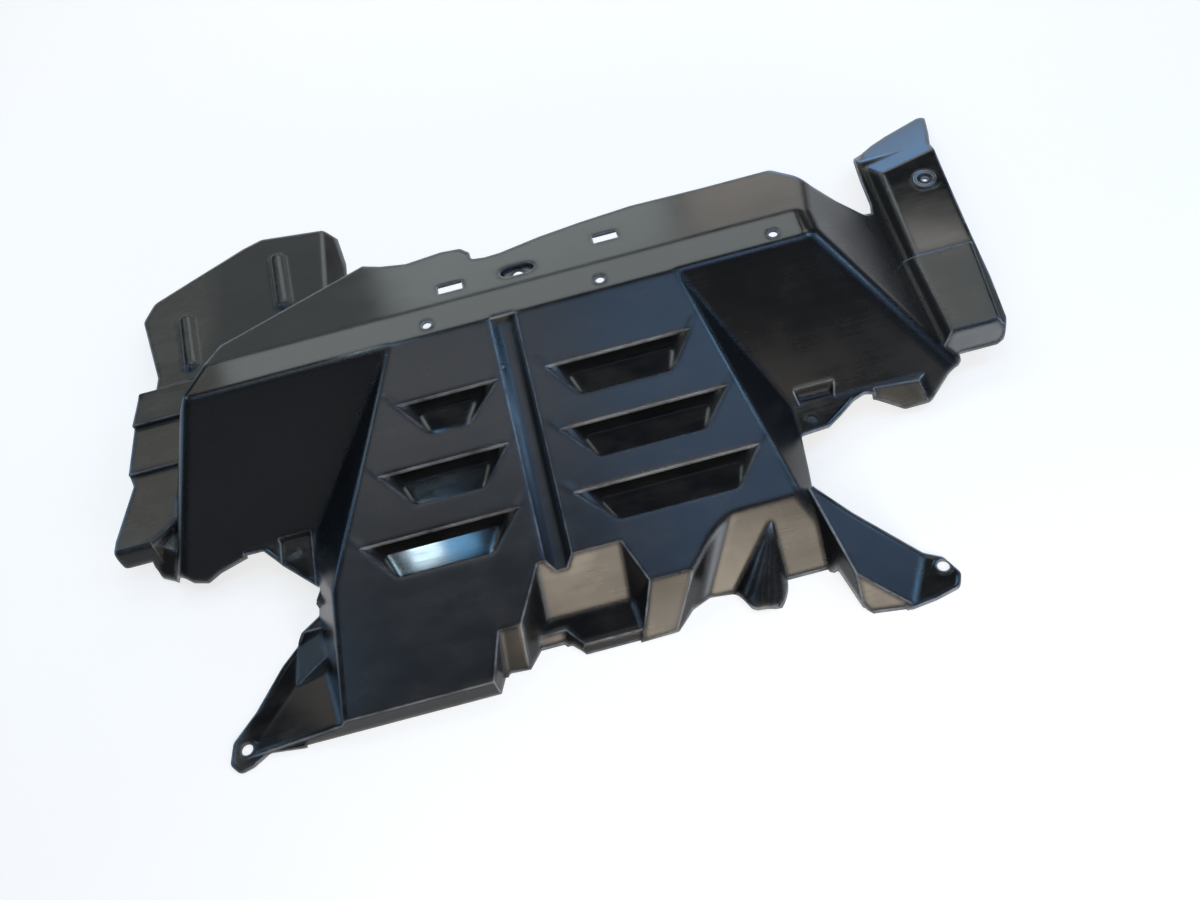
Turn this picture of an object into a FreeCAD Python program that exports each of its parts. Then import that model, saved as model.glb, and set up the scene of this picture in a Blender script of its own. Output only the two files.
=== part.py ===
import FreeCAD, Part
import math
import os

os.makedirs("parts", exist_ok=True)
V = FreeCAD.Vector

# All sizes are in millimetres and degrees. The shield lies with its road side up.
# X runs along the part, Y away from the viewer, Z up, and the floor is at z = 0.
WALL = 3.0
DEEP = 60.0
FAR = 1500.0

# How far the trimmed sheet reaches on each side.
LEFT_EDGE = -444.0
RIGHT_EDGE = 508.0
FLAP_END_Y = 483.0
SKIRT_END_Y = 404.0
BAND_END_Y = 252.0
FRONT_END_Y = -209.0

# The hood: a level strip along the ridge, with faces that fall away on every side.
RIDGE_Z = 150.0
RIDGE_Y = 128.0
CREASE_Y = 167.0
RIDGE_LEFT = -342.0
RIDGE_RIGHT = 322.0
BAND_SLOPE = 13.0
APRON_SLOPE = 45.0
LEFT_FLANK_SLOPE = 65.0
RIGHT_FLANK_SLOPE = 46.5
CHAMFER_SLOPE = 78.0
CHAMFER_END_X = -158.0
CHAMFER_END_Y = 262.0
CHAMFER_MIDDLE_X = -300.0
CHAMFER_MIDDLE_Y = 193.0
RIDGE_ROUND = 9.0
LEFT_EDGE_ROUND = 14.0
RIGHT_EDGE_ROUND = 26.0

# The main panel, which slopes towards the viewer and carries the louvres.
PANEL_SLOPE = 21.5
PANEL_TOP_LEFT = -125.0
PANEL_TOP_RIGHT = 176.0
PANEL_BEND_X = -230.0
PANEL_BEND_Y = -88.0
PANEL_FRONT_LEFT = -244.0
PANEL_FRONT_RIGHT = 231.0
PANEL_FRONT_Y = -201.0
PANEL_BACKSET_Y = -108.0
PANEL_SIDE_SLOPE = 52.0
PANEL_LEFT_SLOPE = 45.0
PANEL_LOW_LEFT_SLOPE = 60.0
PANEL_EDGE_ROUND = 8.0
LIP_SLOPE = 80.0

# The notch in the front edge, the nose and arch to its right, and the low shelf at its foot.
SHOULDER_Y = -158.0
SHOULDER_LEFT = -82.0
SHOULDER_RIGHT = -60.0
SHOULDER_SLOPE = 50.0
GUTTER_FRONT_X = -97.0
NOTCH_BACK_LEFT = -31.0
NOTCH_BACK_RIGHT = 52.0
NOTCH_WALL_SLOPE = 51.0
NOTCH_LEFT_SLOPE = 66.0
NOTCH_RIGHT_SLOPE = 61.0
NOTCH_FOOT_SLOPE = 54.0
NOSE_Y = -149.0
NOSE_LEFT = 69.0
NOSE_RIGHT = 113.0
NOSE_SLOPE = 43.0
ARCH_RIGHT = 154.0
ARCH_SLOPE = 74.0
ARCH_ROUND = 30.0
RIGHT_WALL_SLOPE = 45.0
RIGHT_CORNER_ROUND = 12.0
SHELF_Z = 10.0
SHELF_LEFT = -66.0
SHELF_STEP_X = -21.0
SHELF_STEP_Y = -161.0
SHELF_CORNER_X = -6.0
SHELF_FRONT_Y = -181.5
SHELF_RIGHT = 76.0

# The flute in the front wall is part of a leaning cone.
FLUTE_APEX = V(197, -122, 44)
FLUTE_AXIS = V(-20, -36, -45)
FLUTE_LENGTH = 100.0
FLUTE_RADIUS = 40.0

# The ledges at the foot of the two side panels, each with a short skirt and a small pocket.
LEDGE_Z = 32.0
LEDGE_SKIRT_SLOPE = 48.0
LEFT_TAB_X = -328.0
RIGHT_TAB_X = 344.0
POCKET_SLOPE = 105.0
DIMPLE_RADIUS = 7.0
DIMPLE_HEIGHT = 2.0

# The left wing: a low pad, a plate, a narrow strip and the sloping flap with two ribs.
LEFT_PAD_Z = 42.0
LEFT_PAD_Y = 44.0
LEFT_PLATE_Z = 46.0
LEFT_PLATE_Y = 138.0
LEFT_PLATE_END_Y = 250.0
STRIP_Z = 43.0
FLAP_Y = 264.0
FLAP_SLOPE = 8.0
FLAP_FOLD_X = -211.0
FLAP_FOLD_SLOPE = 45.0
WING_LIP_SLOPE = 66.0
RIB_RADIUS = 11.0
RIB_SINK = 5.0
LEFT_LIP_END_Z = 22.0

# The right wing: a valley beside the hood, a plateau, a raised pad and the rear skirt.
VALLEY_Z = 32.0
PLATEAU_Z = 46.0
PLATEAU_X = 444.0
PLATEAU_END_Y = 298.0
RIGHT_PAD_Z = 52.0
RIGHT_PAD_X = 437.0
RIGHT_PAD_Y = 38.0
RIGHT_PAD_END_Y = 149.0
RIGHT_PAD_SIDE_X = 492.0
RIGHT_LIP_SLOPE = 60.0
PLATEAU_SIDE_SLOPE = 55.0
PAD_SIDE_SLOPE = 51.0
SKIRT_SLOPE = 24.0
WING_ROUND = 6.0
RIGHT_LIP_END_Z = 28.0
BOSS_X = 490.0
BOSS_Y = 261.0
BOSS_RADIUS = 13.0
BOSS_DISH_RADIUS = 9.0
BOSS_HEIGHT = 2.0
BOSS_HOLE_RADIUS = 3.2

# The legs: a low strip to each fixing hole, with a wedge up to the panel's side.
LEG_TOP_Z = 3.0
LEG_HOLE_X = 344.0
LEG_HOLE_Y = -194.0
LEG_HOLE_RADIUS = 6.0
LEFT_LEG_STEP_Z = 15.0
LEFT_LEG_SLOPE = 18.0
RIGHT_LEG_SLOPE = 25.8

# Holes and slots along the ridge strip and the band.
STRIP_HOLE_X = 99.0
STRIP_HOLE_STEP = 182.0
STRIP_HOLE_Y = 142.0
STRIP_HOLE_RADIUS = 4.75
SLOT_LENGTH = 26.0
SLOT_WIDTH = 14.0
SLOT_PLACES = ((-53, 190), (117, 208))
RECESS_X = 19.0
RECESS_Y = 190.0
RECESS_LENGTH = 36.0
RECESS_WIDTH = 18.0
RECESS_DEPTH = 6.0
RECESS_HOLE_RADIUS = 5.5

# The louvres: three rows on each side of the central groove.
LOUVRE_ROWS = (68.0, 6.0, -55.0)
LOUVRE_REACH = 35.0
LOUVRE_UNDER = 13.0
LOUVRE_FLOOR_SLOPE = -3.0
LOUVRE_END_SLOPE = 34.0
LOUVRE_CORNER_ROUND = 9.0
LOUVRE_RIM_ROUND = 3.0
# For each louvre: left and right end of the rear edge, then of the front lip.
LEFT_LOUVRES = ((-131, -26, -103, -64), (-163, -31, -133, -63), (-195, -35, -165, -69))
RIGHT_LOUVRES = ((23, 173, 51, 144), (22, 193, 53, 160), (20, 206, 56, 176))

GROOVE_DEPTH = 6.5
GROOVE_TOP_X = -6.0
GROOVE_FOOT_X = -10.0
GROOVE_HALF_WIDTH = 13.5
GROOVE_SIDE_SLOPE = 40.0


def wall(p, q, slope):
    """A face through the line p to q that falls on its right-hand side, seen from above."""
    along = q - p
    right = V(along.y, -along.x, 0).normalize()
    angle = math.radians(slope)
    fall = right * math.cos(angle) - V(0, 0, math.sin(angle))
    return p, fall.cross(along).normalize()


def level(height):
    return V(0, 0, height), V(0, 0, 1)


def before(y):
    return V(0, y, 0), V(0, 1, 0)


def behind(y):
    return V(0, y, 0), V(0, -1, 0)


def left_of(x):
    return V(x, 0, 0), V(1, 0, 0)


def right_of(x):
    return V(x, 0, 0), V(-1, 0, 0)


def turned(face):
    return face[0], face[1] * -1


def block(faces, depth, base=-DEEP):
    """The solid inside all the faces, each of them moved inwards by depth."""
    solid = Part.makeBox(2 * FAR, 2 * FAR, FAR, V(-FAR, -FAR, base - 5 * depth))
    for point, normal in faces:
        space = Part.makeBox(4 * FAR, 4 * FAR, 4 * FAR, V(-2 * FAR, -2 * FAR, -4 * FAR))
        turn = FreeCAD.Rotation(V(0, 0, 1), normal)
        space.Placement = FreeCAD.Placement(point - normal * depth, turn)
        solid = solid.common(space)
    return solid


def on_face(point, face, depth):
    origin, normal = face
    return abs((point - origin).dot(normal) + depth) < 0.01


def rounded(solid, groups, depth):
    """Rounds the edges between pairs of faces so that the wall stays even.

    A negative radius belongs to a hollow edge, which gets the larger radius on the inner skin.
    """
    for radius, pairs in groups:
        size = abs(radius - depth)
        edges = []
        for edge in solid.Edges:
            middle = edge.valueAt((edge.FirstParameter + edge.LastParameter) / 2)
            for one, two in pairs:
                if on_face(middle, one, depth) and on_face(middle, two, depth):
                    edges.append(edge)
                    break
        if edges and size > 0.1:
            solid = solid.makeFillet(size, edges)
    return solid


def panel_height(y):
    return RIDGE_Z - (RIDGE_Y - y) * math.tan(math.radians(PANEL_SLOPE))


def on_panel(x, y):
    return V(x, y, panel_height(y))


def panel_top():
    return wall(on_panel(0, RIDGE_Y), on_panel(1, RIDGE_Y), PANEL_SLOPE)


def band_height(y):
    return RIDGE_Z - (y - CREASE_Y) * math.tan(math.radians(BAND_SLOPE))


def hood(depth):
    top = level(RIDGE_Z)
    back = wall(V(0, CREASE_Y, RIDGE_Z), V(-1, CREASE_Y, RIDGE_Z), BAND_SLOPE)
    apron = wall(V(0, RIDGE_Y, RIDGE_Z), V(1, RIDGE_Y, RIDGE_Z), APRON_SLOPE)
    left = wall(V(RIDGE_LEFT, 1, RIDGE_Z), V(RIDGE_LEFT, 0, RIDGE_Z), LEFT_FLANK_SLOPE)
    right = wall(V(RIDGE_RIGHT, 0, RIDGE_Z), V(RIDGE_RIGHT, 1, RIDGE_Z), RIGHT_FLANK_SLOPE)
    end = V(CHAMFER_END_X, CHAMFER_END_Y, RIDGE_Z)
    middle = V(CHAMFER_MIDDLE_X, CHAMFER_MIDDLE_Y, RIDGE_Z)
    long_chamfer = wall(end, middle, CHAMFER_SLOPE)
    short_chamfer = wall(middle, V(RIDGE_LEFT, RIDGE_Y, RIDGE_Z), CHAMFER_SLOPE)
    faces = [top, back, apron, left, right, long_chamfer, short_chamfer, before(2 * CHAMFER_END_Y)]
    groups = [
        (RIGHT_EDGE_ROUND, [(apron, right), (top, right), (back, right)]),
        (LEFT_EDGE_ROUND, [(apron, left)]),
        (RIDGE_ROUND, [(top, apron)]),
    ]
    return rounded(block(faces, depth), groups, depth)


def panel(depth):
    """The main panel, set back in the notch and again to the right of the arch."""
    top = panel_top()
    ridge = level(RIDGE_Z)
    bend = on_panel(PANEL_BEND_X, PANEL_BEND_Y)
    left = wall(on_panel(PANEL_TOP_LEFT, RIDGE_Y), bend, PANEL_LEFT_SLOPE)
    lower_left = wall(bend, on_panel(PANEL_FRONT_LEFT, PANEL_FRONT_Y), PANEL_LOW_LEFT_SLOPE)
    front_right = on_panel(PANEL_FRONT_RIGHT, PANEL_BACKSET_Y)
    right = wall(front_right, on_panel(PANEL_TOP_RIGHT, RIDGE_Y), PANEL_SIDE_SLOPE)
    sides = [ridge, before(CREASE_Y - 7), top, left, lower_left, right]

    def front(y, slope):
        return wall(on_panel(0, y), on_panel(1, y), slope)

    back_left = on_panel(NOTCH_BACK_LEFT, PANEL_BACKSET_Y)
    back_right = on_panel(NOTCH_BACK_RIGHT, PANEL_BACKSET_Y)
    gutter = wall(on_panel(GUTTER_FRONT_X, PANEL_FRONT_Y), on_panel(SHOULDER_LEFT, SHOULDER_Y), LIP_SLOPE)
    notch_left = wall(on_panel(SHOULDER_RIGHT, SHOULDER_Y), back_left, NOTCH_LEFT_SLOPE)
    notch_right = wall(back_right, on_panel(NOSE_LEFT, NOSE_Y), NOTCH_RIGHT_SLOPE)
    foot = wall(on_panel(NOSE_LEFT, NOSE_Y), V(52, -183, SHELF_Z), NOTCH_FOOT_SLOPE)
    arch = wall(on_panel(NOSE_RIGHT, NOSE_Y), on_panel(ARCH_RIGHT, PANEL_BACKSET_Y), ARCH_SLOPE)
    lip = front(PANEL_FRONT_Y, LIP_SLOPE)
    right_wall = front(PANEL_BACKSET_Y, RIGHT_WALL_SLOPE)
    split = (NOSE_LEFT + NOSE_RIGHT) / 2
    parts = [
        [front(PANEL_BACKSET_Y, NOTCH_WALL_SLOPE), left_of(split + 2 * depth)],
        [right_wall, right_of(split)],
        [lip, gutter],
        [front(SHOULDER_Y, SHOULDER_SLOPE), notch_left],
        [front(NOSE_Y, NOSE_SLOPE), notch_right, arch],
        [front(NOSE_Y, NOSE_SLOPE), foot, arch],
    ]
    whole = block(sides + parts[0], depth)
    for faces in parts[1:]:
        whole = whole.fuse(block(sides + faces, depth))
    whole = whole.removeSplitter()
    outer = [(top, ridge), (top, left), (top, lower_left), (top, right), (ridge, left), (ridge, right)]
    groups = [
        (-ARCH_ROUND, [(arch, right_wall)]),
        (RIGHT_CORNER_ROUND, [(right_wall, right)]),
        (PANEL_EDGE_ROUND, outer),
    ]
    return rounded(whole, groups, depth)


def shelf(depth):
    """The low shelf at the foot of the notch, with a step back at its left end."""
    step = V(SHELF_STEP_X, SHELF_STEP_Y, SHELF_Z)
    corner = V(SHELF_CORNER_X, SHELF_FRONT_Y, SHELF_Z)
    top = level(SHELF_Z)
    sides = [top, right_of(SHELF_LEFT), left_of(SHELF_RIGHT), before(PANEL_BACKSET_Y + 20)]
    diagonal = wall(step, corner, 45)
    back_part = block(sides + [wall(step, step + V(1, 0, 0), 45)], depth)
    front_part = block(sides + [diagonal, wall(corner, corner + V(1, 0, 0), 60)], depth)
    return [back_part, front_part]


def flute(depth):
    axis = V(FLUTE_AXIS).normalize()
    spread = math.atan(FLUTE_RADIUS / FLUTE_LENGTH)
    apex = FLUTE_APEX + axis * (depth / math.sin(spread))
    return Part.makeCone(0, FLUTE_RADIUS, FLUTE_LENGTH, apex, axis)


def left_leg(depth):
    """The low strip out to the left fixing hole, two facets beside it and a small step behind."""
    lip = wall(on_panel(0, PANEL_FRONT_Y), on_panel(1, PANEL_FRONT_Y), LIP_SLOPE)
    strip = block([level(LEG_TOP_Z), right_of(-390), left_of(-286), before(-78), behind(-240)], depth)
    top = V(-288, -93, LEG_TOP_Z)
    elbow = V(-291, -141, LEG_TOP_Z)
    toe = V(-352, -212, LEG_TOP_Z)
    crest = V(-256, -124, LEG_TOP_Z + 11)
    rear = block([wall(top, elbow, LEFT_LEG_SLOPE), wall(elbow, crest, 30), before(-78), left_of(-222)], depth)
    front = block([wall(elbow, toe, 9), lip, left_of(-222), before(-120)], depth)
    edge = V(0, -91, LEFT_LEG_STEP_Z)
    step_faces = [level(LEFT_LEG_STEP_Z), wall(edge, edge + V(1, 0, 0), 60), before(-40)]
    step = block(step_faces + [right_of(-300), left_of(-222)], depth)
    return [strip, rear, front, step]


def right_leg(depth):
    """One large facet falls from a crest beside the panel to the right fixing hole."""
    strip = block([level(LEG_TOP_Z), right_of(296), left_of(390), before(-140), behind(-250)], depth)
    heel = V(303, -225, LEG_TOP_Z)
    ankle = V(324, -186, LEG_TOP_Z)
    crest_back = V(241, -112, 55)
    crest_front = V(258, -192, 30)
    facet = wall(heel, ankle, RIGHT_LEG_SLOPE)
    west = wall(crest_back, crest_front, 72)
    front = wall(crest_front, heel, 42)
    rear = wall(crest_back + V(0, 9, 0), crest_back + V(-1, 9, 0), 60)
    return [strip, block([facet, west, front, rear], depth)]


def ledges(depth):
    """On each side a level tab beside the panel, and a skirt that falls in two facets."""
    top = level(LEDGE_Z)

    def skirt(one, two):
        return wall(V(one[0], one[1], LEDGE_Z), V(two[0], two[1], LEDGE_Z), LEDGE_SKIRT_SLOPE)

    left_tab = [top, right_of(LEFT_TAB_X), left_of(-190), behind(-72), before(70)]
    left_skirt = [top, left_of(LEFT_TAB_X + 2 * depth), before(70), right_of(-450)]
    left_skirt += [skirt((-397, 33), (-376, 18)), skirt((-376, 18), (-328, 11))]
    right_tab = [top, right_of(215), left_of(RIGHT_TAB_X), behind(-60), before(70)]
    right_skirt = [top, right_of(RIGHT_TAB_X - 2 * depth), before(70), left_of(460)]
    right_skirt += [skirt((344, 8), (390, 3)), skirt((390, 3), (420, 28))]
    return [block(faces, depth) for faces in (left_tab, left_skirt, right_tab, right_skirt)]


def flap_height(y):
    return STRIP_Z - (y - FLAP_Y) * math.tan(math.radians(FLAP_SLOPE))


def left_wing(depth):
    top = level(LEFT_PAD_Z)
    lip = wall(V(0, LEFT_PAD_Y, LEFT_PAD_Z), V(1, LEFT_PAD_Y, LEFT_PAD_Z), WING_LIP_SLOPE)
    corner = wall(V(-421, LEFT_PAD_Y, LEFT_PAD_Z), V(-404, 58, LEFT_PAD_Z), WING_LIP_SLOPE)
    pad = block([top, lip, corner, before(LEFT_PLATE_Y + 40), right_of(-520), left_of(-330)], depth)
    pad = rounded(pad, [(WING_ROUND, [(top, lip), (top, corner)])], depth)
    start = V(0, LEFT_PLATE_Y, LEFT_PLATE_Z)
    plate_front = wall(start, start + V(1, 0, 0), 70)
    end = V(0, LEFT_PLATE_END_Y, LEFT_PLATE_Z)
    plate_back = wall(end, end + V(-1, 0, 0), 50)
    plate = block([level(LEFT_PLATE_Z), plate_front, plate_back, right_of(-520), left_of(-300)], depth)
    strip = block([level(STRIP_Z), behind(200), before(FLAP_Y), right_of(-520), left_of(-300)], depth)
    start = V(0, FLAP_Y, STRIP_Z)
    fall = wall(start, start + V(-1, 0, 0), FLAP_SLOPE)
    fold = V(FLAP_FOLD_X, 0, flap_height(0))
    side = wall(fold, V(FLAP_FOLD_X, FLAP_END_Y, flap_height(FLAP_END_Y)), FLAP_FOLD_SLOPE)
    flap = block([fall, side, behind(200), before(2 * FLAP_END_Y), right_of(-520)], depth)
    flap = rounded(flap, [(WING_ROUND, [(fall, side)])], depth)
    ribs = []
    for x0, y0, x1, y1 in ((-263, 345, -270, 436), (-373, 276, -383, 362)):
        begin = V(x0, y0, flap_height(y0) - RIB_SINK)
        end = V(x1, y1, flap_height(y1) - RIB_SINK)
        radius = RIB_RADIUS - depth
        ribs.append(Part.makeCylinder(radius, (end - begin).Length, begin, end - begin))
        ribs.append(Part.makeSphere(radius, begin))
        ribs.append(Part.makeSphere(radius, end))
    return [pad, plate, strip, flap] + ribs


def right_wing(depth):
    start = V(0, RIGHT_PAD_Y, RIGHT_PAD_Z)
    lip = wall(start, start + V(1, 0, 0), RIGHT_LIP_SLOPE)
    valley = block([level(VALLEY_Z), lip, before(330), right_of(300), left_of(560)], depth)
    top = level(RIGHT_PAD_Z)
    west = wall(V(RIGHT_PAD_X, 1, RIGHT_PAD_Z), V(RIGHT_PAD_X, 0, RIGHT_PAD_Z), PAD_SIDE_SLOPE)
    east = V(RIGHT_PAD_SIDE_X, RIGHT_PAD_END_Y / 2, RIGHT_PAD_Z)
    side = wall(east, east + V(10, 95, 0), 60)
    end = V(0, RIGHT_PAD_END_Y, RIGHT_PAD_Z)
    pad = block([top, lip, west, side, wall(end, end + V(-1, 0, 0), 60)], depth)
    pad = rounded(pad, [(WING_ROUND, [(top, lip), (top, west), (top, side)])], depth)
    plain = level(PLATEAU_Z)
    edge = V(PLATEAU_X, (PLATEAU_END_Y + RIGHT_PAD_END_Y) / 2, PLATEAU_Z)
    slope = wall(edge + V(6, 127, 0), edge, PLATEAU_SIDE_SLOPE)
    back = V(BOSS_X, PLATEAU_END_Y, PLATEAU_Z)
    skirt = wall(back + V(52, 13, 0), back, SKIRT_SLOPE)
    plateau = block([plain, slope, skirt, lip, left_of(560)], depth)
    plateau = rounded(plateau, [(WING_ROUND, [(plain, slope), (slope, skirt), (plain, skirt)])], depth)
    return [valley, pad, plateau]


def louvre_faces(rear, left, right, lip_left, lip_right):
    lip = rear - LOUVRE_REACH
    start = on_panel(0, lip)
    floor = wall(start, start + V(-1, 0, 0), LOUVRE_FLOOR_SLOPE)
    west = wall(on_panel(left, rear), on_panel(lip_left, lip), 180 - LOUVRE_END_SLOPE)
    east = wall(on_panel(lip_right, lip), on_panel(right, rear), 180 - LOUVRE_END_SLOPE)
    return turned(floor), west, east


def louvre_room(faces, rear, depth):
    """The space of one louvre, with soft corners where the end facets meet the floor."""
    floor, west, east = faces
    space = block([floor, west, east, before(rear)], -depth, -200)
    pairs = [(floor, west), (floor, east)]
    return rounded(space, [(LOUVRE_CORNER_ROUND, pairs)], -depth)


def louvre(rear, corners):
    """What one louvre takes from the outer form: an open pocket that runs on under the panel."""
    faces = louvre_faces(rear, *corners)
    top = panel_top()
    hidden = louvre_room(faces, rear + LOUVRE_UNDER, 0).common(block([top], WALL))
    left, right, lip_left, lip_right = corners
    slab_faces = [top, right_of(left - 20), left_of(right + 20), before(rear + 15)]
    slab = block(slab_faces + [behind(rear - LOUVRE_REACH - 15)], 0)
    pocketed = slab.cut(louvre_room(faces, rear, 0))
    rim = []
    for edge in pocketed.Edges:
        middle = edge.valueAt((edge.FirstParameter + edge.LastParameter) / 2)
        inside = left - 1 < middle.x < right + 1 and middle.y > rear - LOUVRE_REACH - 1
        if inside and on_face(middle, top, 0) and middle.y < rear - 0.1:
            rim.append(edge)
    soft = pocketed.makeFillet(LOUVRE_RIM_ROUND, rim)
    return [slab.cut(soft), hidden]


def louvres(depth):
    cuts = []
    for row, rear in enumerate(LOUVRE_ROWS):
        for corners in (LEFT_LOUVRES[row], RIGHT_LOUVRES[row]):
            if depth == 0:
                cuts += louvre(rear, corners)
            else:
                faces = louvre_faces(rear, *corners)
                cuts.append(louvre_room(faces, rear + LOUVRE_UNDER - depth, depth))
    return cuts


def groove(depth):
    """The shallow channel down the middle of the panel, from the ridge to the notch."""
    sunk = GROOVE_DEPTH / math.cos(math.radians(PANEL_SLOPE))
    point, normal = panel_top()
    floor = (point - V(0, 0, sunk), normal * -1)
    half = V(GROOVE_HALF_WIDTH, 0, 0)
    head = on_panel(GROOVE_TOP_X, RIDGE_Y)
    foot = on_panel(GROOVE_FOOT_X, PANEL_BACKSET_Y)
    west = wall(head - half, foot - half, 180 - GROOVE_SIDE_SLOPE)
    east = wall(foot + half, head + half, 180 - GROOVE_SIDE_SLOPE)
    return block([floor, west, east, before(RIDGE_Y), behind(SHOULDER_Y)], -depth, -200)


def pocket(x0, x1, y, z, depth):
    """A small flat pocket at the foot of a side panel."""
    high = z + 15
    back = wall(V(1, y, high), V(0, y, high), POCKET_SLOPE)
    west = wall(V(x0, 1, high), V(x0, 0, high), POCKET_SLOPE)
    east = wall(V(x1, 0, high), V(x1, 1, high), POCKET_SLOPE)
    return block([turned(level(z)), back, west, east, behind(-100)], -depth, -200)


def recess(depth):
    """The oblong dish in the band."""
    bottom = band_height(RECESS_Y) - RECESS_DEPTH - depth
    radius = RECESS_WIDTH / 2 + depth
    half = (RECESS_LENGTH - RECESS_WIDTH) / 2
    ends = []
    for x in (RECESS_X - half, RECESS_X + half):
        ends.append(Part.makeCylinder(radius, 60, V(x, RECESS_Y, bottom)))
    middle = Part.makeBox(2 * half, 2 * radius, 60, V(RECESS_X - half, RECESS_Y - radius, bottom))
    return ends[0].fuse(ends[1]).fuse(middle).removeSplitter()


def mass(depth):
    """The whole form, with every face moved inwards by depth."""
    pieces = [panel(depth)] + ledges(depth) + left_wing(depth) + right_wing(depth)
    pieces = pieces + left_leg(depth) + right_leg(depth) + [flute(depth)] + shelf(depth)
    whole = hood(depth)
    for piece in pieces:
        whole = whole.fuse(piece)
    cuts = [groove(depth), recess(depth)]
    cuts.append(pocket(262, 306, 23, LEDGE_Z, depth))
    cuts.append(pocket(-291, -252, 16, LEDGE_Z - 2, depth))
    for cut in cuts + louvres(depth):
        whole = whole.cut(cut)
    return whole


def outline():
    """The trimmed edge in plan, as points with the radius of each corner."""
    hole_x = LEG_HOLE_X
    hole_y = LEG_HOLE_Y
    front = FRONT_END_Y
    left = LEFT_EDGE
    flap = FLAP_END_Y
    band = BAND_END_Y
    right = RIGHT_EDGE
    skirt = SKIRT_END_Y
    left_leg_edge = [
        (-249, front, 2), (-290, front + 2, 8), (-322, front + 6, 8), (-hole_x + 6, hole_y - 19, 8),
        (-hole_x - 8, hole_y - 23, 8), (-hole_x - 17, hole_y - 12, 8), (-hole_x - 13, hole_y + 10, 8),
        (-333, -158, 10), (-304, -116, 10), (-284, -95, 6), (-259, -77, 4),
    ]
    left_ledge_edge = [
        (-250, -56, 3), (-290, -14, 8), (-307, 7, 4), (-324, 7, 8), (-356, 1, 6), (-371, -4, 6),
        (-386, -1, 6), (-402, 10, 6), (-412, 17, 6), (-425, 25, 3), (-428, 33, 3),
    ]
    left_wing_edge = [
        (left - 18, 36, 8), (left - 15, 58, 8), (left + 4, 124, 3), (left, 138, 3),
        (left + 8, 217, 8), (left + 11, 250, 3), (left + 31, 251, 2), (left + 32, 270, 8),
        (left + 18, 334, 12), (left + 8, 380, 16), (left + 20, flap - 72, 16), (-314, flap - 7, 8),
        (-290, flap + 3, 10), (-207, flap - 12, 10), (-188, flap - 24, 10), (-190, 399, 10),
        (-186, 300, 6), (-164, 284, 5),
    ]
    band_edge = [
        (-125, band + 12, 8), (-97, band + 4, 10), (-57, band + 9, 14), (-36, band + 6, 6),
        (-27, band - 6, 4), (-26, band - 20, 5), (-12, band - 23, 8), (5, band - 22, 20),
        (50, band - 11, 30), (96, band - 4, 30), (153, band + 2, 40), (230, band, 30),
        (309, band, 10), (323, 236, 8), (342, 217, 12), (370, 212, 20), (402, 214, 8), (415, 226, 8),
        (421, 248, 8),
    ]
    right_wing_edge = [
        (right - 84, 290, 10), (right - 79, 330, 10), (right - 58, skirt - 46, 12),
        (right - 43, skirt - 34, 10), (right - 22, skirt - 22, 12), (right + 29, skirt, 6),
        (right + 33, skirt - 9, 5), (right + 20, skirt - 54, 8), (right + 10, 320, 10),
        (right + 4, 243, 12), (right - 1, 170, 12), (right - 5, 100, 12), (right - 11, 42, 6),
        (right - 16, 29, 6), (right - 28, 23, 8),
    ]
    right_ledge_edge = [
        (444, 23, 3), (437, 14, 6), (423, 6, 8), (396, -13, 8), (371, -12, 10), (346, 0, 12),
        (333, 5, 8), (320, 0, 8), (301, -14, 8), (286, -24, 6), (256, -26, 4),
    ]
    right_leg_edge = [
        (250, -72, 6), (245, -104, 3), (275, -132, 10), (332, -176, 10), (hole_x + 3, hole_y + 9, 8),
        (hole_x + 13, hole_y - 12, 8), (hole_x + 7, hole_y - 26, 8), (326, -226, 8), (302, -229, 12),
        (268, -226, 8), (258, -214, 8), (247, -172, 6),
    ]
    front_edge = [
        (240, -168, 5), (224, -166, 10), (204, -168, 8), (190, -193, 10), (158, -190, 10),
        (147, -165, 8), (122, -162, 8), (103, -170, 8), (84, -189, 6), (-4, -191, 6),
        (-19, -174, 4), (-43, -175, 4), (-58, -188, 6), (-84, -186, 4), (-91, front, 2),
    ]
    points = left_leg_edge + left_ledge_edge + left_wing_edge + band_edge
    points += right_wing_edge + right_ledge_edge + right_leg_edge + front_edge
    edges = []
    ends = []
    count = len(points)
    for i, (x, y, radius) in enumerate(points):
        here = V(x, y, 0)
        back = (V(points[i - 1][0], points[i - 1][1], 0) - here).normalize()
        onward = (V(points[(i + 1) % count][0], points[(i + 1) % count][1], 0) - here).normalize()
        half = back.getAngle(onward) / 2
        reach = radius / math.tan(half)
        start = here + back * reach
        stop = here + onward * reach
        middle_line = (back + onward).normalize()
        middle = here + middle_line * (radius / math.sin(half) - radius)
        ends.append((start, stop))
        edges.append(Part.Arc(start, middle, stop).toShape())
    lines = []
    for i in range(count):
        lines.append(Part.makeLine(ends[i][1], ends[(i + 1) % count][0]))
    both = []
    for arc, line in zip(edges, lines):
        both.append(arc)
        both.append(line)
    face = Part.Face(Part.Wire(both))
    return face.extrude(V(0, 0, 2 * RIDGE_Z))


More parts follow.
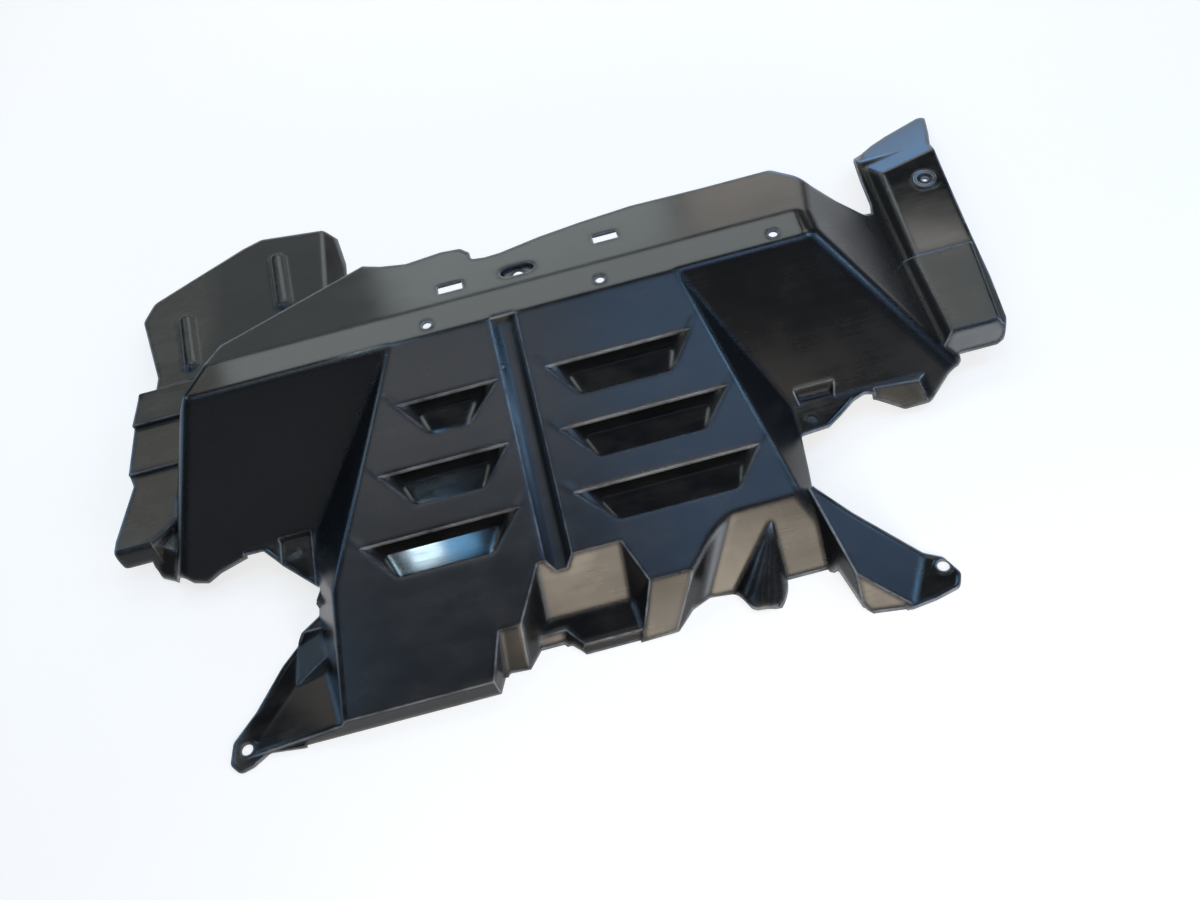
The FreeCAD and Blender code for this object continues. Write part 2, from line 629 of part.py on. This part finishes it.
def holes():
    cuts = []
    for side in (-1, 1):
        cuts.append(Part.makeCylinder(LEG_HOLE_RADIUS, 60, V(side * LEG_HOLE_X, LEG_HOLE_Y, -30)))
    for step in (-1, 0, 1):
        x = STRIP_HOLE_X + step * STRIP_HOLE_STEP
        cuts.append(Part.makeCylinder(STRIP_HOLE_RADIUS, 40, V(x, STRIP_HOLE_Y, RIDGE_Z - 20)))
    for x, y in SLOT_PLACES:
        corner = V(x - SLOT_LENGTH / 2, y - SLOT_WIDTH / 2, RIDGE_Z - 40)
        cuts.append(Part.makeBox(SLOT_LENGTH, SLOT_WIDTH, 60, corner))
    cuts.append(Part.makeCylinder(RECESS_HOLE_RADIUS, 60, V(RECESS_X, RECESS_Y, RIDGE_Z - 40)))
    cuts.append(Part.makeCylinder(BOSS_HOLE_RADIUS, 60, V(BOSS_X, BOSS_Y, PLATEAU_Z - 30)))
    return cuts


def studs():
    """The ring on the plateau and the two small domes on the ledges."""
    centre = V(BOSS_X, BOSS_Y, PLATEAU_Z - 1)
    ring = Part.makeCylinder(BOSS_RADIUS, BOSS_HEIGHT + 1, centre)
    ring = ring.cut(Part.makeCylinder(BOSS_DISH_RADIUS, BOSS_HEIGHT + 1, centre))
    sunk = DIMPLE_RADIUS - DIMPLE_HEIGHT
    domes = []
    for x, y, z in ((-274, -8, LEDGE_Z - 2), (272, -10, LEDGE_Z)):
        ball = Part.makeSphere(DIMPLE_RADIUS, V(x, y, z - sunk))
        domes.append(ball.common(Part.makeBox(40, 40, 40, V(x - 20, y - 20, z - 1))))
    return [ring] + domes


shape = mass(0).common(outline()).cut(mass(WALL))
left_lip_room = Part.makeBox(60, 60, LEFT_LIP_END_Z, V(LEFT_EDGE - 44, 0, 0))
right_lip_room = Part.makeBox(90, 45, RIGHT_LIP_END_Z, V(RIGHT_EDGE - 66, 10, 0))
for tool in holes() + [left_lip_room, right_lip_room]:
    shape = shape.cut(tool)
for stud in studs():
    shape = shape.fuse(stud)
shape = shape.removeSplitter()
part = max(shape.Solids, key=lambda solid: solid.Volume)

# The row's origin is the centre of the base, so the finished part is moved there.
bounds = part.optimalBoundingBox(False, False)
part.translate(V(-bounds.Center.x, -bounds.Center.y, -bounds.ZMin))
part.exportStep("parts/splash_shield.step")
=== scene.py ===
import math

import bpy
from mathutils import Matrix, Vector

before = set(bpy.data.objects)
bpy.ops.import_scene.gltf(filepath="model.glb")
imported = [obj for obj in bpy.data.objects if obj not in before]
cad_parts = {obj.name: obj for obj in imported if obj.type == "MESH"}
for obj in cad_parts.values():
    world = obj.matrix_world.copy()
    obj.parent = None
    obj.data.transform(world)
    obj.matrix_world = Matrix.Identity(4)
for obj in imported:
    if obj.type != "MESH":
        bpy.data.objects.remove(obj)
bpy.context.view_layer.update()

# Lengths are in metres and angles in degrees, in the frame of the model.
# The camera stands at the photograph's angle and looks down at the road side.
# Its lens and its sensor are in millimetres.
LOOK_AT = Vector((0.0151, -0.1284, 0.060))
CAMERA_DISTANCE = 1.30
CAMERA_TILT = 54.0
CAMERA_ROLL = 14.8
CAMERA_LENS = 38.7
SENSOR_WIDTH = 36.0

# The camera and the reflections see the floor's glow, which lights nothing else.
FLOOR_SIZE = 14.0
FLOOR_COLOUR = (0.36, 0.355, 0.345, 1.0)
FLOOR_ROUGHNESS = 0.9
FLOOR_GLOW = 0.73
FLOOR_GLOW_COLOUR = (1.0, 1.0, 1.0, 1.0)
WORLD_COLOUR = (0.85, 0.92, 1.0, 1.0)
WORLD_STRENGTH = 0.065

PLASTIC_COLOUR = (0.0060, 0.0063, 0.0070, 1.0)
DUST_COLOUR = (0.085, 0.072, 0.053, 1.0)
# A pale colour painted along the convex outer edges as a highlight.
PAINTED_HIGHLIGHT_COLOUR = (0.35, 0.38, 0.43, 1.0)
PLASTIC_IOR = 1.5

# Folds are softened over this radius, and a painted highlight lies along the outer edges over this width.
FOLD_RADIUS = 0.008
FOLD_SAMPLES = 8
EDGE_WIDTH = 0.0022
EDGE_SAMPLES = 6

# Each pattern's scale, which is one number or one for each of X, Y and Z, its detail and, where
# it isn't the usual one, how rough its finer detail is.
STREAK_STRETCH = (9.0, 420.0, 120.0)
STREAK_DETAIL = 3.0
CLOUD_SCALE = 7.0
CLOUD_DETAIL = 5.0
CLOUD_ROUGHNESS = 0.6
SMUDGE_STRETCH = (22.0, 40.0, 30.0)
SMUDGE_DETAIL = 6.0
SMUDGE_ROUGHNESS = 0.65
GRAIN_SCALE = 900.0
GRAIN_DETAIL = 2.0
RIPPLE_STRETCH = (5.0, 9.0, 9.0)
RIPPLE_DETAIL = 1.0

# How strong each relief is, and how deep.
RIPPLE_BUMP = (0.12, 0.0008)
STREAK_BUMP = (0.10, 0.00006)
GRAIN_BUMP = (0.08, 0.00003)

# A pair of limits says where a mask starts and where it is full. A face's slope is the upward
# part of its normal, which is 1 on a level face and 0 on an upright one.
EDGE_LIMITS = (0.97, 0.84)
LEVEL_SLOPES = (0.965, 0.995)
STEEP_SLOPES = (0.86, 0.76)
PATTERN_LIMITS = (0.3, 0.7)

# Dust lies on the level pads of the left wing and on the front part of the right pad.
LEFT_PADS_X = (-0.375, -0.405)
RIGHT_PAD_X = (0.385, 0.405)
RIGHT_PAD_Y = (0.035, 0.015)
RIGHT_PAD_DUST = (0.0, 1.6)
DUST_LIMITS = (0.12, 0.34)
DUST_AMOUNTS = (0.25, 1.0)

# A thin haze lies on the gentle slopes, and the painted highlight along the outer edges is broken up by the
# smudges.
HAZE_LIMITS = (0.42, 0.70)
HAZE_AMOUNTS = (0.0, 0.16)
HAZE_SLOPES = (0.80, 0.90)
HAZE_ON_SLOPES = (0.04, 1.0)
PAINTED_HIGHLIGHT_LIMITS = (0.35, 0.65)
PAINTED_HIGHLIGHT_AMOUNTS = (0.15, 0.85)

# How rough the surface is: the clouds set the base, and the others add to it or take from it.
CLOUD_SHEEN = (0.17, 0.23)
STREAK_SHEEN = (0.0, 0.04)
LEVEL_POLISH = 0.13
DUST_ROUGHNESS = 0.25
STEEP_ROUGHNESS = (0.0, 0.08)
STEEP_CLOUDS = (0.40, 0.62)

# Each soft lamp has its place, the point that it faces, its width and height, how brightly
# it glows, where 1 is white paper in plain light, and its colour.
LAMPS = {
    "ceiling_left": ((-0.50, -0.13, 2.2), (-0.50, -0.13, 0.0), (0.95, 0.62), 1.45, (0.97, 1.0, 1.06)),
    "ceiling_right": ((0.50, -0.13, 2.2), (0.50, -0.13, 0.0), (0.95, 0.62), 1.6, (0.57, 0.97, 1.60)),
    "front_ceiling_left": ((-0.5, -0.73, 2.2), (-0.5, -0.73, 0.0), (0.95, 0.56), 0.30, (0.85, 1.0, 1.25)),
    "front_ceiling_right": ((0.5, -0.73, 2.2), (0.5, -0.73, 0.0), (0.95, 0.56), 1.35, (0.55, 0.93, 1.6)),
    "far_ceiling": ((-1.0, -0.80, 2.2), (-0.4, -0.5, 0.0), (0.26, 0.30), 1.8, (0.45, 1.00, 1.80)),
    "back_window": ((-0.08, 1.47, 1.72), (-0.08, 0.0, 0.15), (1.66, 0.55), 2.7, (0.95, 1.03, 1.03)),
    "back_left": ((-1.25, 1.47, 1.85), (-0.45, 0.0, 0.05), (0.6, 0.6), 0.85, (1.08, 1.0, 0.90)),
    "back_right": ((1.17, 1.47, 1.95), (0.45, 0.0, 0.05), (0.5, 0.42), 3.2, (1.03, 1.0, 0.95)),
    "low_left": ((-0.75, 1.47, 0.75), (-0.35, 0.2, 0.05), (0.7, 0.5), 0.55, (0.95, 1.02, 1.0)),
    "low_middle": ((-0.03, 1.45, 0.62), (0.02, 0.1, 0.15), (0.66, 0.45), 2.0, (0.93, 1.03, 1.03)),
    "low_right": ((0.86, 1.45, 0.60), (0.3, 0.1, 0.15), (1.10, 0.40), 1.9, (1.05, 0.98, 0.90)),
    "low_blue": ((0.54, 0.80, 0.09), (0.42, 0.2, 0.03), (0.28, 0.14), 1.7, (0.38, 0.95, 1.85)),
    "front_warm": ((0.105, -1.03, 0.37), (0.08, -0.27, 0.05), (0.51, 0.29), 8.2, (1.12, 0.97, 0.78)),
    "front_right": ((0.72, -1.0, 0.20), (0.42, -0.1, 0.05), (0.50, 0.40), 5.5, (0.93, 1.0, 1.08)),
    "front_left": ((-0.69, -1.05, 0.86), (-0.32, 0.0, 0.1), (0.6, 0.5), 0.28, (0.9, 1.0, 1.2)),
    "left_side": ((-1.35, 0.54, 0.79), (-0.31, -0.24, 0.0), (0.4, 0.4), 0.6, (0.80, 1.0, 1.30)),
    "left_low": ((-1.45, 0.42, 0.26), (-0.20, 0.0, 0.07), (0.8, 0.35), 1.6, (0.45, 1.0, 1.80)),
    "right_blue": ((1.55, -0.08, 1.0), (0.0, 0.0, 0.08), (0.5, 0.5), 0.8, (0.55, 1.00, 1.80)),
    "right_small": ((1.35, 0.09, 0.68), (-0.06, -0.11, 0.1), (0.16, 0.14), 7.0, (0.60, 1.00, 1.55)),
    "right_glint": ((1.10, 0.06, 1.34), (0.2, -0.1, 0.1), (0.36, 0.36), 8.0, (0.42, 0.90, 1.50)),
    "left_glint": ((-1.20, 0.35, 1.10), (-0.22, -0.1, 0.1), (0.30, 0.30), 5.5, (0.60, 1.00, 1.40)),
    "small_window": ((-0.300, 0.192, 0.80), (-0.17, -0.20, 0.065), (0.050, 0.046), 34.0, (0.74, 1.0, 1.16)),
    "small_sky": ((-0.242, 0.192, 0.80), (-0.15, -0.20, 0.065), (0.055, 0.050), 9.0, (0.32, 0.86, 1.50)),
}


class Nodes:
    """A small helper that adds and joins the nodes of one material."""

    def __init__(self, material):
        material.use_nodes = True
        self.tree = material.node_tree
        self.tree.nodes.clear()

    def add(self, kind, **values):
        node = self.tree.nodes.new(kind)
        for name, value in values.items():
            setattr(node, name, value)
        return node

    def join(self, source, target):
        self.tree.links.new(source, target)

    def split(self, vector):
        """The X, Y and Z of a vector, as the outputs of one node."""
        node = self.add("ShaderNodeSeparateXYZ")
        self.join(vector, node.inputs[0])
        return node.outputs

    def noise(self, vector, scale, detail, roughness=0.55):
        node = self.add("ShaderNodeTexNoise")
        node.inputs["Scale"].default_value = scale
        node.inputs["Detail"].default_value = detail
        node.inputs["Roughness"].default_value = roughness
        self.join(vector, node.inputs["Vector"])
        return node.outputs["Fac"]

    def stretch(self, vector, scale):
        node = self.add("ShaderNodeMapping")
        node.inputs["Scale"].default_value = scale
        self.join(vector, node.inputs["Vector"])
        return node.outputs["Vector"]

    def span(self, value, limits, amounts=(0.0, 1.0)):
        """Turns a value between two limits into one between two amounts."""
        node = self.add("ShaderNodeMapRange")
        for number, amount in enumerate((*limits, *amounts), start=1):
            node.inputs[number].default_value = amount
        self.join(value, node.inputs[0])
        return node.outputs[0]

    def maths(self, operation, one, two):
        """One operation on two values, each a fixed number or another node's output."""
        node = self.add("ShaderNodeMath", operation=operation)
        for number, value in enumerate((one, two)):
            if isinstance(value, (int, float)):
                node.inputs[number].default_value = value
            else:
                self.join(value, node.inputs[number])
        return node.outputs[0]

    def times(self, one, two):
        return self.maths("MULTIPLY", one, two)

    def blend(self, factor, one, two):
        """A mix of two colours, each a fixed value or another node's output.

        The node's sockets 6 and 7 take the colours, and its output 2 gives the mixed one.
        """
        node = self.add("ShaderNodeMix", data_type="RGBA")
        self.join(factor, node.inputs[0])
        for number, value in ((6, one), (7, two)):
            if isinstance(value, tuple):
                node.inputs[number].default_value = value
            else:
                self.join(value, node.inputs[number])
        return node.outputs[2]

    def bump(self, height, relief, normal):
        strength, depth = relief
        node = self.add("ShaderNodeBump")
        node.inputs["Strength"].default_value = strength
        node.inputs["Distance"].default_value = depth
        self.join(height, node.inputs["Height"])
        self.join(normal, node.inputs["Normal"])
        return node.outputs["Normal"]

    def finish(self, shader):
        output = self.add("ShaderNodeOutputMaterial")
        self.join(shader.outputs[0], output.inputs["Surface"])


def plastic():
    """Semi-gloss moulded plastic with soft folds, drawing streaks, smudges, a little dust and a painted
    highlight along the outer edges.
    """
    material = bpy.data.materials.new("shield_plastic")
    nodes = Nodes(material)
    place = nodes.add("ShaderNodeTexCoord").outputs["Object"]
    surface = nodes.add("ShaderNodeNewGeometry").outputs["Normal"]
    slope = nodes.split(surface)["Z"]
    level = nodes.span(slope, LEVEL_SLOPES)
    where = nodes.split(place)
    left_pads = nodes.span(where["X"], LEFT_PADS_X)
    right_pad = nodes.span(where["X"], RIGHT_PAD_X)
    right_pad = nodes.times(right_pad, nodes.span(where["Y"], RIGHT_PAD_Y, RIGHT_PAD_DUST))
    wings = nodes.maths("ADD", left_pads, right_pad)

    fold = nodes.add("ShaderNodeBevel", samples=FOLD_SAMPLES)
    fold.inputs["Radius"].default_value = FOLD_RADIUS
    inner = nodes.add("ShaderNodeAmbientOcclusion", inside=True, only_local=True, samples=EDGE_SAMPLES)
    inner.inputs["Distance"].default_value = EDGE_WIDTH
    edge = nodes.span(inner.outputs["AO"], EDGE_LIMITS)

    streaks = nodes.noise(nodes.stretch(place, STREAK_STRETCH), 1.0, STREAK_DETAIL)
    clouds = nodes.noise(place, CLOUD_SCALE, CLOUD_DETAIL, CLOUD_ROUGHNESS)
    smudges = nodes.noise(nodes.stretch(place, SMUDGE_STRETCH), 1.0, SMUDGE_DETAIL, SMUDGE_ROUGHNESS)
    grain = nodes.noise(place, GRAIN_SCALE, GRAIN_DETAIL)
    ripple = nodes.noise(nodes.stretch(place, RIPPLE_STRETCH), 1.0, RIPPLE_DETAIL)

    patches = nodes.span(nodes.times(clouds, smudges), DUST_LIMITS, DUST_AMOUNTS)
    dust = nodes.times(nodes.times(level, wings), patches)
    gentle = nodes.span(slope, HAZE_SLOPES, HAZE_ON_SLOPES)
    haze = nodes.times(nodes.span(smudges, HAZE_LIMITS, HAZE_AMOUNTS), gentle)
    dust = nodes.maths("MAXIMUM", dust, haze)
    # A painted highlight along the convex outer edges, broken up by the smudges.
    painted_highlight = nodes.times(edge, nodes.span(smudges, PAINTED_HIGHLIGHT_LIMITS, PAINTED_HIGHLIGHT_AMOUNTS))
    colour = nodes.blend(dust, PLASTIC_COLOUR, DUST_COLOUR)
    colour = nodes.blend(painted_highlight, colour, PAINTED_HIGHLIGHT_COLOUR)

    rough = nodes.span(clouds, PATTERN_LIMITS, CLOUD_SHEEN)
    rough = nodes.maths("ADD", rough, nodes.span(streaks, PATTERN_LIMITS, STREAK_SHEEN))
    rough = nodes.maths("SUBTRACT", rough, nodes.times(level, LEVEL_POLISH))
    rough = nodes.maths("ADD", rough, nodes.times(dust, DUST_ROUGHNESS))
    steep = nodes.span(slope, STEEP_SLOPES, STEEP_ROUGHNESS)
    rough = nodes.maths("ADD", rough, nodes.times(steep, nodes.span(clouds, STEEP_CLOUDS)))

    shape = nodes.bump(ripple, RIPPLE_BUMP, fold.outputs["Normal"])
    shape = nodes.bump(streaks, STREAK_BUMP, shape)
    shape = nodes.bump(grain, GRAIN_BUMP, shape)

    shader = nodes.add("ShaderNodeBsdfPrincipled")
    nodes.join(colour, shader.inputs["Base Color"])
    nodes.join(rough, shader.inputs["Roughness"])
    nodes.join(shape, shader.inputs["Normal"])
    shader.inputs["IOR"].default_value = PLASTIC_IOR
    nodes.finish(shader)
    return material


def pale_floor():
    """A plain pale floor that takes the object's shadow and looks white to the camera."""
    material = bpy.data.materials.new("pale_floor")
    nodes = Nodes(material)
    rays = nodes.add("ShaderNodeLightPath").outputs
    seen = nodes.maths("MAXIMUM", rays["Is Camera Ray"], rays["Is Glossy Ray"])
    seen = nodes.maths("MAXIMUM", seen, rays["Is Transmission Ray"])
    shader = nodes.add("ShaderNodeBsdfPrincipled")
    shader.inputs["Base Color"].default_value = FLOOR_COLOUR
    shader.inputs["Roughness"].default_value = FLOOR_ROUGHNESS
    shader.inputs["Emission Color"].default_value = FLOOR_GLOW_COLOUR
    nodes.join(nodes.times(seen, FLOOR_GLOW), shader.inputs["Emission Strength"])
    nodes.finish(shader)

    half = FLOOR_SIZE / 2
    mesh = bpy.data.meshes.new("floor")
    corners = [(-half, -half, 0), (half, -half, 0), (half, half, 0), (-half, half, 0)]
    mesh.from_pydata(corners, [], [(0, 1, 2, 3)])
    floor = bpy.data.objects.new("floor", mesh)
    floor.data.materials.append(material)
    bpy.context.scene.collection.objects.link(floor)


def soft_lamp(name, place, aim, size, glow, colour):
    """A rectangular lamp whose power is worked out from its glow and its area."""
    lamp = bpy.data.lights.new(name, "AREA")
    lamp.shape = "RECTANGLE"
    lamp.size, lamp.size_y = size
    lamp.energy = glow * math.pi * size[0] * size[1]
    lamp.color = colour
    light = bpy.data.objects.new(name, lamp)
    light.location = place
    light.rotation_euler = (Vector(aim) - Vector(place)).to_track_quat("-Z", "Y").to_euler()
    light.visible_camera = False
    bpy.context.scene.collection.objects.link(light)


def lights():
    """The dim surroundings and every soft lamp."""
    world = bpy.data.worlds.new("studio")
    world.use_nodes = True
    background = world.node_tree.nodes["Background"]
    background.inputs["Color"].default_value = WORLD_COLOUR
    background.inputs["Strength"].default_value = WORLD_STRENGTH
    bpy.context.scene.world = world
    for name, settings in LAMPS.items():
        soft_lamp(name, *settings)


def camera():
    """A camera that looks along +Y and down by its tilt, and is then rolled."""
    tilt = math.radians(CAMERA_TILT)
    roll = math.radians(CAMERA_ROLL)
    forward = Vector((0.0, math.cos(tilt), -math.sin(tilt)))
    level_up = Vector((0.0, math.sin(tilt), math.cos(tilt)))
    level_right = Vector((1.0, 0.0, 0.0))
    right = level_right * math.cos(roll) - level_up * math.sin(roll)
    up = level_right * math.sin(roll) + level_up * math.cos(roll)
    data = bpy.data.cameras.new("camera")
    data.lens = CAMERA_LENS
    data.sensor_width = SENSOR_WIDTH
    view = bpy.data.objects.new("camera", data)
    turn = Matrix((right, up, -forward)).transposed().to_4x4()
    view.matrix_world = Matrix.Translation(LOOK_AT - forward * CAMERA_DISTANCE) @ turn
    bpy.context.scene.collection.objects.link(view)
    bpy.context.scene.camera = view


def dress(material):
    """Gives the plastic to the solid that came with the frame."""
    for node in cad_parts.values():
        node.data.materials.clear()
        node.data.materials.append(material)


dress(plastic())
pale_floor()
lights()
camera()
bpy.context.scene.view_settings.view_transform = "Standard"
